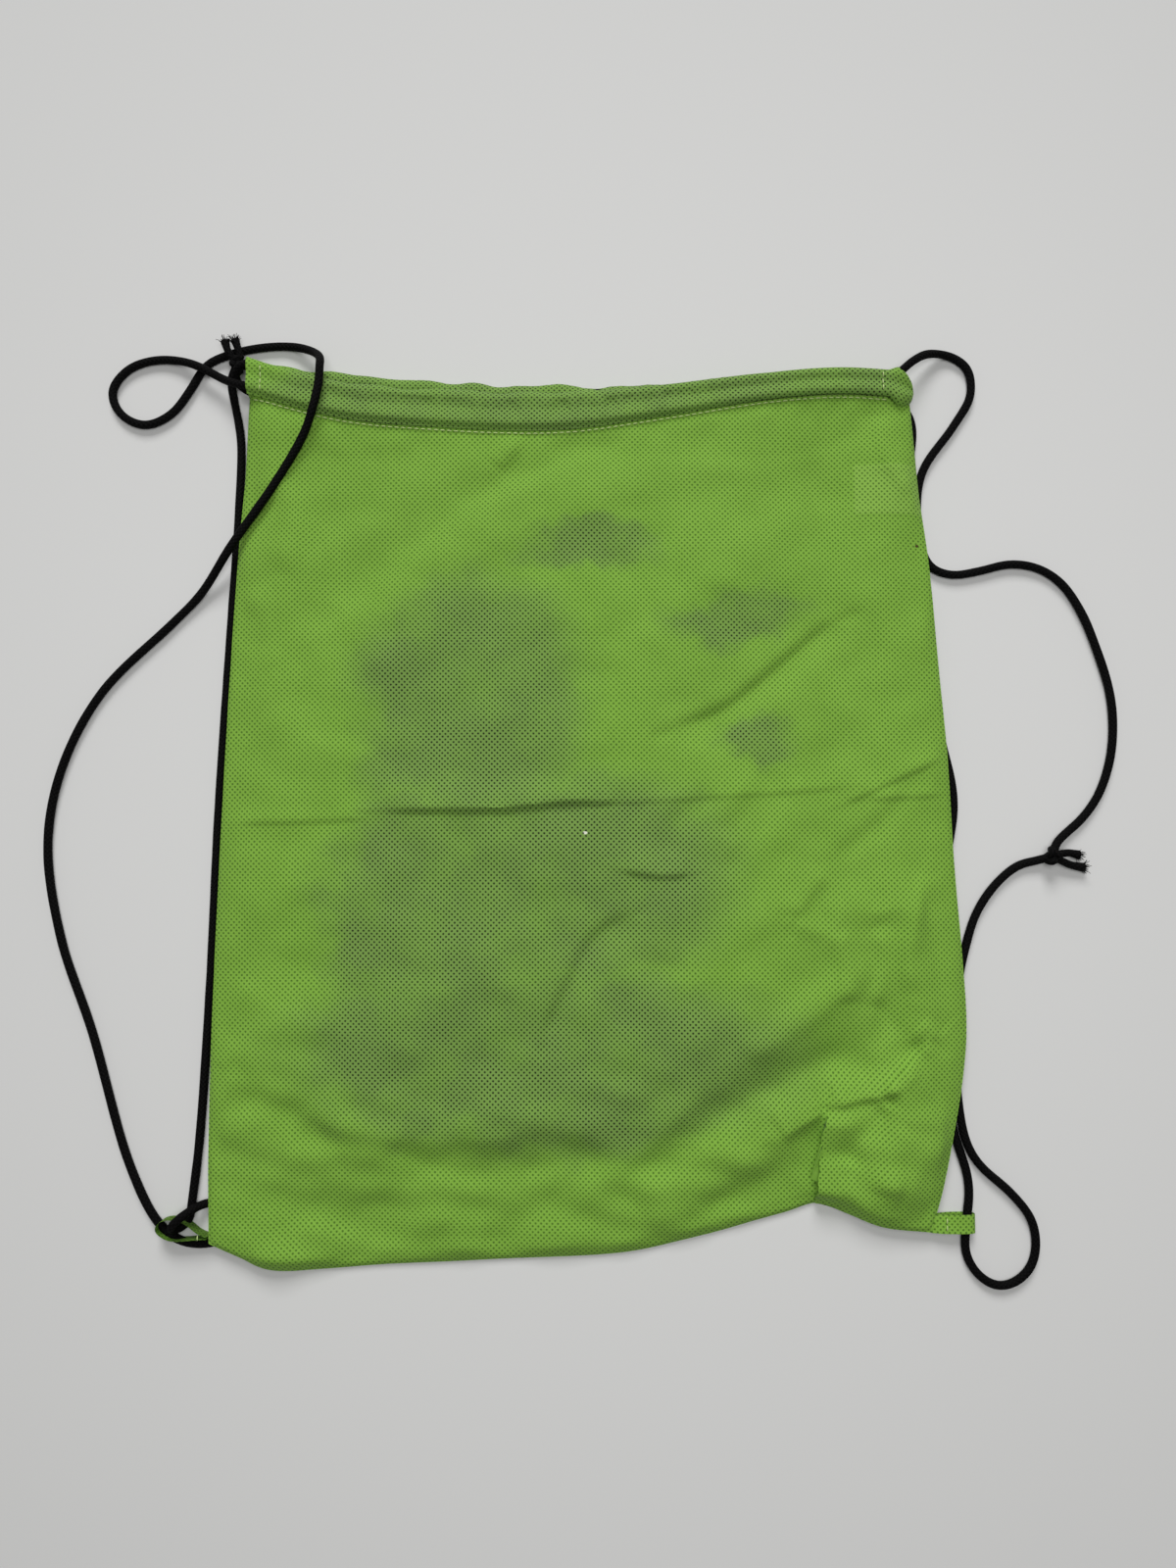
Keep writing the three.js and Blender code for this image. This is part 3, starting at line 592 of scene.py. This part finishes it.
# Creases and soft folds of the upper panel: the line, its height (below 0 for a valley), and how far it
# spreads to the left and to the right of the line's direction.
FOLDS = [
    ([(-0.095, -0.0048), (-0.088, -0.0042), (-0.06, -0.0042), (-0.0326, -0.0039), (0, -0.0008),
      (0.036, -0.0007)], 0.0019, 0.01, 0.0011),
    ([(-0.1619, -0.0104), (-0.12, -0.0094), (-0.088, -0.0075)], 0.0006, 0.005, 0.0011),
    ([(0.03, -0.0007), (0.07, 0.002), (0.103, 0.004), (0.142, 0.008)], 0.0005, 0.005, 0.0012),
    ([(0.128, -0.003), (0.155, 0.0098), (0.182, 0.0222)], 0.0008, 0.006, 0.0013),
    ([(0.14, 0.001), (0.181, 0.0032)], 0.0006, 0.004, 0.0012),
    ([(0.0436, 0.0306), (0.0754, 0.0423), (0.0952, 0.0569), (0.1098, 0.0692), (0.124, 0.081),
      (0.1373, 0.0896)], -0.0019, 0.004, 0.009),
    ([(0.1026, 0.0175), (0.0721, -0.0215)], -0.001, 0.006, 0.007),
    ([(-0.0283, 0.1596), (-0.0846, 0.1167), (-0.1143, 0.0872)], -0.0016, 0.008, 0.012),
    ([(0.0281, 0.1765), (-0.0145, 0.161), (-0.05, 0.146)], -0.0012, 0.006, 0.01),
    ([(0.16, 0.186), (0.1, 0.168), (0.04, 0.168)], -0.0008, 0.006, 0.012),
    ([(0.15, 0.19), (0.155, 0.165), (0.168, 0.145)], 0.001, 0.006, 0.004),
    (LIP, 0.0042, 0.017, 0.0012),
    ([(0.1231, -0.1425), (0.134, -0.1398), (0.1451, -0.1377), (0.158, -0.1325)], 0.0017, 0.01, 0.0024),
    ([(0.098, -0.1575), (0.11, -0.1505), (0.1231, -0.1425)], 0.0019, 0.011, 0.004),
    ([(0.03, -0.198), (0.06, -0.177), (0.09, -0.161), (0.112, -0.15)], 0.0026, 0.015, 0.014),
    ([(0.054, -0.158), (0.085, -0.14), (0.118, -0.1245), (0.148, -0.112)], -0.002, 0.01, 0.008),
    ([(0.078, -0.122), (0.11, -0.104), (0.139, -0.082)], 0.0016, 0.01, 0.007),
    ([(0.06, -0.196), (0.082, -0.184), (0.108, -0.172)], -0.0014, 0.007, 0.009),
    ([(0.1509, -0.1413), (0.143, -0.151), (0.1351, -0.16), (0.131, -0.174)], -0.002, 0.005, 0.007),
    ([(0.1658, -0.1043), (0.1739, -0.1116)], 0.001, 0.003, 0.007),
    ([(0.1739, -0.1116), (0.1655, -0.12), (0.1557, -0.1296), (0.146, -0.14)], 0.002, 0.009, 0.0022),
    ([(0.147, -0.048), (0.15, -0.075), (0.152, -0.1), (0.158, -0.118)], -0.0022, 0.009, 0.009),
    ([(0.125, -0.06), (0.131, -0.078), (0.133, -0.098)], 0.0012, 0.006, 0.007),
    ([(0.172, -0.03), (0.16, -0.075), (0.162, -0.095)], 0.001, 0.005, 0.004),
    ([(0.16, -0.15), (0.15, -0.168), (0.146, -0.186)], 0.0014, 0.008, 0.006),
    ([(0.12, -0.15), (0.142, -0.139), (0.17, -0.124)], 0.0024, 0.008, 0.032),
    ([(0.128, -0.186), (0.142, -0.18), (0.158, -0.182)], 0.0012, 0.008, 0.014),
    ([(0.118, -0.062), (0.146, -0.056), (0.174, -0.052)], 0.002, 0.018, 0.045),
    ([(0.152, -0.196), (0.165, -0.17), (0.176, -0.14)], 0.0012, 0.01, 0.008),
    ([(-0.163, -0.118), (-0.14, -0.14), (-0.118, -0.15)], -0.0009, 0.006, 0.008),
    ([(-0.16, -0.085), (-0.128, -0.104), (-0.105, -0.11)], 0.0008, 0.006, 0.008),
    ([(-0.158, -0.178), (-0.11, -0.192), (-0.05, -0.19)], -0.001, 0.008, 0.01),
    ([(-0.02, -0.168), (0.02, -0.182), (0.052, -0.178)], 0.001, 0.008, 0.009),
    ([(-0.15, 0.06), (-0.128, 0.03), (-0.1, 0.02)], 0.0008, 0.008, 0.01),
    ([(0.1245, -0.1426), (0.1378, -0.1354), (0.1539, -0.1291), (0.1664, -0.1201), (0.1739, -0.1125)],
     -0.0017, 0.022, 0.008),
    ([(0.1077, 0.0123), (0.0898, -0.0132), (0.0706, -0.0395)],
     -0.0008, 0.006, 0.006),
    ([(0.1233, -0.0326), (0.1092, -0.0501), (0.1059, -0.057)],
     0.0009, 0.004, 0.006),
    ([(0.1059, -0.057), (0.1169, -0.0616), (0.1298, -0.0652)],
     0.0008, 0.004, 0.004),
    ([(0.17, 0.0123), (0.1463, -0.0137), (0.1248, -0.0294)],
     -0.0009, 0.005, 0.005),
    ([(0.1451, -0.057), (0.1502, -0.0775), (0.1439, -0.1003)],
     0.0012, 0.006, 0.004),
    ([(-0.1624, -0.1341), (-0.1403, -0.1439), (-0.115, -0.1565), (-0.1057, -0.1698)],
     -0.0013, 0.007, 0.01),
    ([(-0.09, -0.1587), (-0.0626, -0.1698), (-0.0262, -0.1725), (0.0101, -0.1654)],
     -0.0012, 0.012, 0.007),
    ([(0.0101, -0.181), (0.0374, -0.1609), (0.0557, -0.1431), (0.074, -0.1341)],
     0.0011, 0.008, 0.006),
    ([(-0.0349, 0.1596), (-0.0278, 0.1683), (-0.0222, 0.179)],
     0.001, 0.006, 0.004),
    ([(-0.1322, 0.1741), (-0.1084, 0.1644), (-0.0847, 0.1683)],
     -0.0008, 0.006, 0.008),
    ([(-0.155, -0.128), (-0.115, -0.148), (-0.06, -0.158), (-0.005, -0.152), (0.045, -0.16)],
     0.0022, 0.02, 0.009),
    ([(0.024, -0.032), (0.044, -0.035), (0.06, -0.034)], 0.0012, 0.006, 0.0016),
    ([(-0.012, -0.118), (0.000, -0.092), (0.014, -0.066), (0.036, -0.052)], -0.0013, 0.004, 0.008),
    ([(0.14, 0.176), (0.09, 0.166), (0.03, 0.15), (-0.03, 0.128), (-0.08, 0.092)],
     0.001, 0.01, 0.014),
    ([(0.075, 0.005), (0.052, -0.01), (0.047, -0.03)], -0.0009, 0.006, 0.006),
    ([(-0.16, 0.1), (-0.148, 0.092), (-0.14, 0.06)], 0.0007, 0.006, 0.006),
    ([(-0.145, 0.165), (-0.132, 0.135), (-0.138, 0.105)], 0.0009, 0.006, 0.008),
]
FOLD_GAIN = 1.6  # all of them stand this much taller than listed


def folded(x, y):
    """How much all the folds raise the cloth at each x, y."""
    total = np.zeros(x.shape)
    for points, high, wide_left, wide_right in FOLDS:
        line = smooth_line(points, 0.003)
        best = np.full(x.shape, 1e9)
        side = np.zeros(x.shape)
        share = np.zeros(x.shape)
        for k in range(len(line) - 1):
            a, d = line[k], line[k + 1] - line[k]
            t = np.clip(((x - a[0]) * d[0] + (y - a[1]) * d[1]) / (d @ d), 0, 1)
            off_x = x - a[0] - t * d[0]
            off_y = y - a[1] - t * d[1]
            far = np.hypot(off_x, off_y)
            near = far < best
            best = np.where(near, far, best)
            side = np.where(near, d[0] * off_y - d[1] * off_x, side)
            share = np.where(near, (k + t) / (len(line) - 1), share)
        wide = np.where(side > 0, wide_left, wide_right)
        taper = ease(share, 0, 0.22) * (1 - ease(share, 0.78, 1))
        taper = np.maximum(taper, 0.25 * np.exp(-((best / wide_left) ** 2)))
        total += FOLD_GAIN * high * taper * np.exp(-((best / wide) ** 2))
    return total


def outline(points, count):
    return spaced(smooth_line(points, 0.0005), count=count)


def panel_plan(mouth):
    """Where each point of a panel lies in plan, between its four edges."""
    left, right = outline(LEFT_EDGE, UP)[:, None], outline(RIGHT_EDGE, UP)[:, None]
    low, high = outline(BOTTOM_FOLD, ACROSS)[None], outline(mouth, ACROSS)[None]
    u = np.linspace(0, 1, ACROSS)[None, :, None]
    v = np.linspace(0, 1, UP)[:, None, None]
    top_left = (left[-1:] + high[:, :1]) / 2
    top_right = (right[-1:] + high[:, -1:]) / 2
    corners = (1 - u) * (1 - v) * low[:, :1] + u * (1 - v) * low[:, -1:]
    corners = corners + (1 - u) * v * top_left + u * v * top_right
    return (1 - u) * left + u * right + (1 - v) * low + v * high - corners


u = np.linspace(0, 1, ACROSS)[None, :]
v = np.linspace(0, 1, UP)[:, None]
inward = np.minimum(u, 1 - u)
edge_far = inward * 0.345
fold_far = v * 0.4
lift = EDGE_LIFT * (1 - ease(inward, 0.068, 0.16))
corner = ease(v, 0.86, 1)  # where the side edge climbs to meet both casings
seam_z = 0.0050 + 0.0034 * corner


def rounded(far, reach):
    """0 at an edge, then up a quarter circle to 1."""
    return np.sqrt(1 - (1 - np.clip(far / reach, 0, 1)) ** 2)


front_plan = panel_plan(FRONT_MOUTH)
back_plan = panel_plan(BACK_MOUTH)
fold_z = lift + 0.0006

# The upper panel: full in the middle, rounded down to the side seams and the bottom fold.
hollow = 0.0096 * ease(inward, 0, 0.3) * ease(v, 0, 0.3)
mouth_lift = (0.0097 - lift) * ease(v, 0.8, 1)
raised = (hollow + mouth_lift + np.sqrt((hollow - mouth_lift) ** 2 + 0.000002)) / 2
back_z = lift + 0.0026 + raised + 0.0014 * ease(fold_far, 0, 0.009) * ease(edge_far, 0, 0.02) * (1 - corner)
back_z = seam_z + (back_z - seam_z) * rounded(edge_far, 0.010 + 0.003 * corner)
x, y = back_plan[..., 0], back_plan[..., 1]
low_part = 1 - ease(y, -0.19, -0.09)
rumple = 0.0009 * waves(x, y, 0.045, 5) + 0.0003 * waves(x, y, 0.016, 6)
rumple = rumple + (0.0003 * low_part + 0.0001) * waves(x * 0.8 + y * 0.3, y * 1.4, 0.012, 7)
rumple = rumple + 0.0007 * low_part * waves(x * 0.8 + y * 0.3, y * 1.3, 0.028, 8)
rumple = rumple + folded(x, y)
# Puckers below the stitches of the casing, and the welt over the label.
below = back_plan[-1:, :, 1] - y
rumple = rumple + 0.0005 * np.exp(-((below / 0.012) ** 2)) * waves(x, y * 0.3, 0.006, 9)
welt = ease(x, 0.1382, 0.1398) * ease(y, 0.1377, 0.1393) * (1 - ease(y, 0.1617, 0.1633))
rumple = rumple + 0.00035 * welt * ease(edge_far, 0, 0.004)
held = ease(edge_far, 0, 0.007) * ease(fold_far, 0, 0.006) * (1 - 0.85 * ease(v, 0.975, 1))
notch = np.exp(-(((x - 0.1195) / 0.010) ** 2)) * (1 - ease(fold_far, 0, 0.02))
back_z = back_z + rumple * np.maximum(held, 0.5 * notch)
# However deep a crease, the sheet stays above the one below it, except close to the side edges.
spare = back_z - fold_z - 0.0014
short = (np.sqrt(spare**2 + 0.000001) - spare) / 2
back_z = back_z + ease(edge_far, 0, 0.012) * short
back_z = fold_z + (back_z - fold_z) * rounded(fold_far, 0.0065)

# The fold above the notch leans over to the left, so that its edge overhangs.
lip_line = smooth_line(LIP, 0.001)
lip_x = np.interp(y, lip_line[::-1, 1], lip_line[::-1, 0])
lip_on = ease(y, -0.199, -0.186) * (1 - ease(y, -0.158, -0.142))
past = x - lip_x
lean = 0.0042 * np.exp(-((np.maximum(past - 0.0008, 0) / 0.007) ** 2)) * ease(past, -0.0016, 0.0008)
back_plan[..., 0] -= lean * lip_on

# The lower panel: flat on the table, its side edges up on the cords.
front_z = lift + 0.0003 + 0.0004 * np.abs(waves(front_plan[..., 0], front_plan[..., 1], 0.04, 11))
front_z = front_z + (seam_z - 0.00008 - front_z) * (1 - rounded(edge_far, 0.004 + 0.009 * corner))
front_z = front_z + (fold_z - 0.00002 - front_z) * (1 - rounded(fold_far, 0.002))

front = np.dstack([front_plan, front_z])
back = np.dstack([back_plan, back_z])


# A casing cut across, in millimetres up from its stitches and out from the middle of its cords.
SECTION = [
    (0, -1.55), (1.7, 0.7), (4.7, 2.6), (8, 2.3), (11, 1.75), (14, 2.2), (17.3, 2.62), (19.9, 1.7),
    (21.2, 0), (19.9, -1.7), (17.3, -2.55), (11, -2.3), (4.7, -2.5), (1.7, -1.6), (0, -1.95),
]
TOP_ROW = 24  # the row of the casing's sheet along its top edge
CORD_RUNS = (0.0045, 0.0173)  # how far above the stitches the two cords run
CORD_ROOM = 0.00275  # from the middle of a cord to the cloth round it


def casing_sheet(panel, cord_z, hood):
    """The cloth of one casing: from its stitches over the two cords, round the top and back beneath."""
    shape = spaced(smooth_line(np.array(SECTION) * 0.001, 0.0002), count=2 * TOP_ROW + 1)
    rows = np.arange(len(shape))[:, None]
    top = panel[-1]
    if hood:
        more = np.linspace(0, 1, 5)[1:, None] * np.array([[0.0020, 0.0001, 0]]) + top[-1:]
        top = np.vstack([top, more])
    else:
        top = top[top[:, 0] < 0.1602]
    x, y, z = top[None, :, 0], top[None, :, 1], top[None, :, 2]
    tall = np.interp(x, *(BACK_TALL if hood else FRONT_TALL))
    up = shape[:, :1] * tall
    out = shape[:, 1:] * np.ones_like(x)
    # Both plies start where the panel ends.
    if hood:
        z = np.where(x < 0.148, z, top[None, np.argmin(abs(top[:, 0] - 0.148)), 2])
    start_gap = (z - cord_z) - shape[0, 1]
    out = out + start_gap * (np.exp(-rows / 2.2) + np.exp(-(2 * TOP_ROW - rows) / 2.2))
    outer = 1 - ease(rows, TOP_ROW, TOP_ROW + 6)
    near_end = np.minimum(x + 0.155, 0.160 - x)
    gather = 0.6 + 0.9 * np.exp(-(((x - 0.036) / 0.045) ** 2))
    ridges = np.abs(waves(x + 0.25 * up, up * 0.3, 0.006, 31 + hood)) - 0.6
    valley = np.exp(-(((up - 0.011) / 0.0045) ** 2))
    ripple = 0.0006 * gather * ridges * (0.55 + 0.9 * valley) * ease(rows, 1, 6)
    ripple = ripple + 0.0005 * waves(x, up * 0.5, 0.018, 33 + hood) * valley
    ripple = ripple + 0.0003 * (1 - ease(near_end, 0.0074, 0.0082))
    out = out + ripple * outer
    # The cloth always clears the two cords inside it.
    for run in CORD_RUNS:
        clear = np.sqrt(np.clip(CORD_ROOM**2 - (up - run * tall) ** 2, 0, None))
        above = np.maximum(out, clear)
        beneath = np.minimum(out, -np.minimum(clear, 0.0026))
        out = np.where(rows <= TOP_ROW, above, beneath)
    up = up + 0.0006 * waves(x, 0, 0.014, 35 + hood) * ease(up, 0.012, 0.02)
    here_z = cord_z + out
    here_y = y + up
    if hood:
        # The right end rolls round the turn of the other side's cord.
        t = np.clip((x - 0.1540) / 0.0148, 0, 1)
        close = np.sqrt(np.clip(1 - np.clip((t - 0.35) / 0.65, 0, 1) ** 2, 0.004, 1))
        high = cord_z + 0.0026 - 0.0030 * t**2
        low = cord_z - 0.0026 - 0.0082 * ease(t, 0, 0.8)
        flat = np.clip(out / 0.0026, -1, 1.15)
        roll = (high + low) / 2 + (high - low) / 2 * flat * close
        here_z = here_z + (roll - here_z) * ease(t, 0, 0.25)
        mid = y + 0.0104 * tall
        swell = 1 + 0.55 * ease(t, 0, 0.55)
        rolled_y = mid - 0.0015 * t + (here_y - mid) * swell * close
        here_y = here_y + (rolled_y - here_y) * ease(t, 0, 0.2)
    return np.dstack([np.broadcast_to(x, here_y.shape), here_y, here_z])


front_casing = casing_sheet(front, FRONT_CORD_Z, 0)
front_casing[..., 2] = np.maximum(front_casing[..., 2], 0.0003)
back_casing = casing_sheet(back, BACK_CORD_Z, 1)


def along_rows(sheet):
    """Distance up each column of a sheet, in metres."""
    steps = np.linalg.norm(np.diff(sheet, axis=0), axis=2)
    return np.vstack([np.zeros((1, sheet.shape[1])), np.cumsum(steps, axis=0)])


def cloth(name, sheet, uvs, material):
    """A sheet of cloth with a thickness, its outer side to the left of its rows as they run."""
    bm = bmesh.new()
    bend_grid(bm, sheet, uvs)
    bm.normal_update()
    bmesh.ops.solidify(bm, geom=bm.faces[:], thickness=CLOTH)
    # Where the leaning crease overlaps itself, the thickness throws out a few stray points. This doesn't
    # remove them: it only keeps them above the table.
    for vert in bm.verts:
        vert.co.z = max(vert.co.z, 0.0002)
    bmesh.ops.recalc_face_normals(bm, faces=bm.faces)
    return piece(bm, name, material, sharp=60)


HALF = ACROSS // 2
HALF_CUT = float(back[-1, HALF, 0])
front_uv = np.dstack([front_plan[..., 0], -0.44 - front_plan[..., 1]])
sheets = {
    "back_panel": (back, back_plan, printed_cloth, (0.178, 0.405)),
    "front_panel": (front[:, ::-1], front_uv[:, ::-1], plain_cloth, (0.178, 0.405)),
    "back_casing": (back_casing, None, casing_cloth, (0.166, 0.042)),
    "front_casing": (front_casing, None, casing_cloth, (0.158, 0.045)),
}
for node, (sheet, uvs, material, flat) in sheets.items():
    if uvs is None:
        uvs = np.dstack([sheet[..., 0], sheet[:1, :, 1] + along_rows(sheet)])
    middle_column = HALF if node != "front_panel" else ACROSS - 1 - HALF
    parts = {"left": np.s_[:, : middle_column + 1], "right": np.s_[:, middle_column:]}
    if node == "front_panel":
        parts = {"right": parts["left"], "left": parts["right"]}
    for side, part in parts.items():
        half = cloth(side + "_half_of_" + node, sheet[part], uvs[part], material)
        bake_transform(half)
        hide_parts(node)


# ---- Stitches, tabs and label ----
STITCH_LOW = 0.0007  # no stitch runs lower than this above the table


def stitches(name, line, out):
    """A row of lockstitches along a line on the cloth, each a short thread that dips in at both its ends."""
    line = spaced(line, step=0.0002)
    bm = bmesh.new()
    pitch, length = 16, 12  # a stitch every 3.2 mm, 2.4 mm of it in view
    out = np.array(out, float)
    for first in range(3, len(line) - length, pitch):
        part = line[first : first + length + 1 : 2]
        arch = np.sin(np.linspace(0, math.pi, len(part)))[:, None]
        radius = 0.0003 * (0.35 + 0.65 * arch[:, 0] ** 0.4)
        add_tube(bm, part + out * (0.0001 + 0.00025 * arch), radius, 6)
    bmesh.ops.recalc_face_normals(bm, faces=bm.faces)
    return piece(bm, name, thread_finish)


def half_bends(obj):
    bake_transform(obj)


# The stitches that hold each casing, 1.6 mm below its mouth line.
for node, sheet, sign in (("back_casing_stitching", back, 1), ("front_casing_stitching", front, -1)):
    row = sheet[-2].copy()
    row[:, 2] += sign * (0.0003 if sign > 0 else 0.0001)
    row[:, 2] = np.maximum(row[:, 2], STITCH_LOW)
    row = row[row[:, 0] < 0.156][2:]
    cut = int(np.argmin(abs(row[:, 0] - HALF_CUT)))
    for side, part in (("left", row[: cut + 1]), ("right", row[cut:])):
        made = stitches(side + "_half_of_" + node, part, (0, 0, sign))
        half_bends(made)
        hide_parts(node)

# The hems at the casings' ends, sewn across.
for side, at_x in (("left", -0.1476), ("right", 0.1526)):
    for ply, sheet, sign in (("back", back_casing, 1), ("front", front_casing, -1)):
        column = int(np.argmin(abs(sheet[0, :, 0] - at_x)))
        rows = np.arange(4, 23) if sign > 0 else np.arange(27, 45)
        line = sheet[rows, column].copy()
        line[:, 2] += sign * 0.0002
        line[:, 2] = np.maximum(line[:, 2], STITCH_LOW)
        node = ply + "_" + side + "_hem_stitching"
        made = stitches(node + "_row", line, (0, 0, sign))
        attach(made, side + "_side")
        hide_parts(node)


def ribbon(name, path, across, low, high, wave):
    """A folded strip of cloth: a path in one plane, and how far it reaches across that plane."""
    line = spaced(smooth_line(path, 0.0004), step=0.0006)
    steps = np.linspace(low, high, 9)
    across = np.array(across, float)
    sheet = line[:, None, :] + across * steps[None, :, None]
    run = np.concatenate([[0], np.cumsum(np.linalg.norm(np.diff(line, axis=0), axis=1))])[:, None]
    sheet[..., 2] += wave * waves(run * 0.6, steps[None, :], 0.008, 51)
    uvs = np.stack(np.broadcast_arrays(steps[None, :], run), axis=-1)
    bm = bmesh.new()
    bend_grid(bm, sheet, uvs)
    bmesh.ops.solidify(bm, geom=bm.faces[:], thickness=0.0007)
    bmesh.ops.recalc_face_normals(bm, faces=bm.faces)
    obj = piece(bm, name, plain_cloth, sharp=50)
    bevel = obj.modifiers.new("soft edges", "BEVEL")
    bevel.width = 0.00015
    bevel.segments = 2
    bevel.limit_method = "ANGLE"
    return obj


right_tab = ribbon(
    "right_tab_loop",
    [
        (0.171, 0, 0.0044), (0.174, 0, 0.0053), (0.180, 0, 0.0061), (0.1855, 0, 0.0062),
        (0.1895, 0, 0.0058), (0.1912, 0, 0.0046), (0.1916, 0, 0.0031), (0.1908, 0, 0.0017),
        (0.1885, 0, 0.0009), (0.1835, 0, 0.0008), (0.179, 0, 0.0013), (0.1745, 0, 0.0029),
        (0.171, 0, 0.0038),
    ],
    (0, 1, 0), -0.2024, -0.1938, 0.0002,
)
left_tab = ribbon(
    "left_tab_loop",
    [
        (-0.1675, -0.2036, 0), (-0.1720, -0.2016, 0), (-0.1762, -0.1984, 0), (-0.1797, -0.1966, 0),
        (-0.1842, -0.1956, 0), (-0.1883, -0.1962, 0), (-0.1909, -0.1981, 0), (-0.1912, -0.2006, 0),
        (-0.1884, -0.2034, 0), (-0.1842, -0.2051, 0), (-0.1782, -0.2051, 0), (-0.172, -0.2046, 0),
        (-0.1675, -0.2044, 0),
    ],
    (0, 0, 1), 0.0008, 0.0082, 0.0,
)
for side, tab in (("left", left_tab), ("right", right_tab)):
    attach(tab, "cloth_body")
    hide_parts(side + "_tab")

# Each tab is held by a bar of close stitches.
for side, at, way in (
    ("left", (-0.1712, -0.2034, 0.0086), (0, 0.0036, 0)),
    ("right", (0.1776, -0.198, 0.0064), (0, 0.0068, 0)),
):
    at, way = np.array(at), np.array(way)
    line = at + way * np.linspace(-0.5, 0.5, 12)[:, None]
    made = stitches(side + "_tab_bar_tack", line, (0, 0, 1))
    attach(made, "cloth_body")
    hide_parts(side + "_tab_stitching")

# The pieces inside the bag keep their CAD shape.
KEPT = {
    "left_side_seam": plain_cloth,
    "right_side_seam": plain_cloth,
    "left_seam_overlock": thread_finish,
    "right_seam_overlock": thread_finish,
    "care_label": label_finish,
}
for node, finish in KEPT.items():
    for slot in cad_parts[node].material_slots:
        slot.material = finish


# ---- Table and lights ----
def table():
    """A plain pale tabletop, far larger than the bag."""
    bm = bmesh.new()
    bmesh.ops.create_grid(bm, x_segments=1, y_segments=1, size=5)
    material, tree, shader = start("matt pale grey tabletop", 0.9, **{"Specular IOR Level": 0.2})
    shader.inputs["Base Color"].default_value = paint("#dcdcdb")
    return piece(bm, "tabletop", material)


def softbox(name, place, size, power):
    light = bpy.data.lights.new(name, "AREA")
    light.shape = "RECTANGLE"
    light.size, light.size_y = size
    light.energy = power
    obj = bpy.data.objects.new(name, light)
    bpy.context.scene.collection.objects.link(obj)
    obj.location = place
    obj.rotation_euler = (-Vector(place)).to_track_quat("-Z", "Y").to_euler()
    return obj


floor = table()
key = softbox("key softbox", (-0.4, 4.2, 3.1), (2.3, 2.0), 172)
fill = softbox("overhead softbox", (0.05, 0.02, 0.95), (0.5, 0.5), 3.7)
sky = bpy.data.worlds.new("studio walls")
sky.use_nodes = True
sky.node_tree.nodes["Background"].inputs["Color"].default_value = (1, 1, 0.975, 1)
sky.node_tree.nodes["Background"].inputs["Strength"].default_value = 0.15
bpy.context.scene.world = sky
bpy.context.scene.view_settings.view_transform = "Standard"
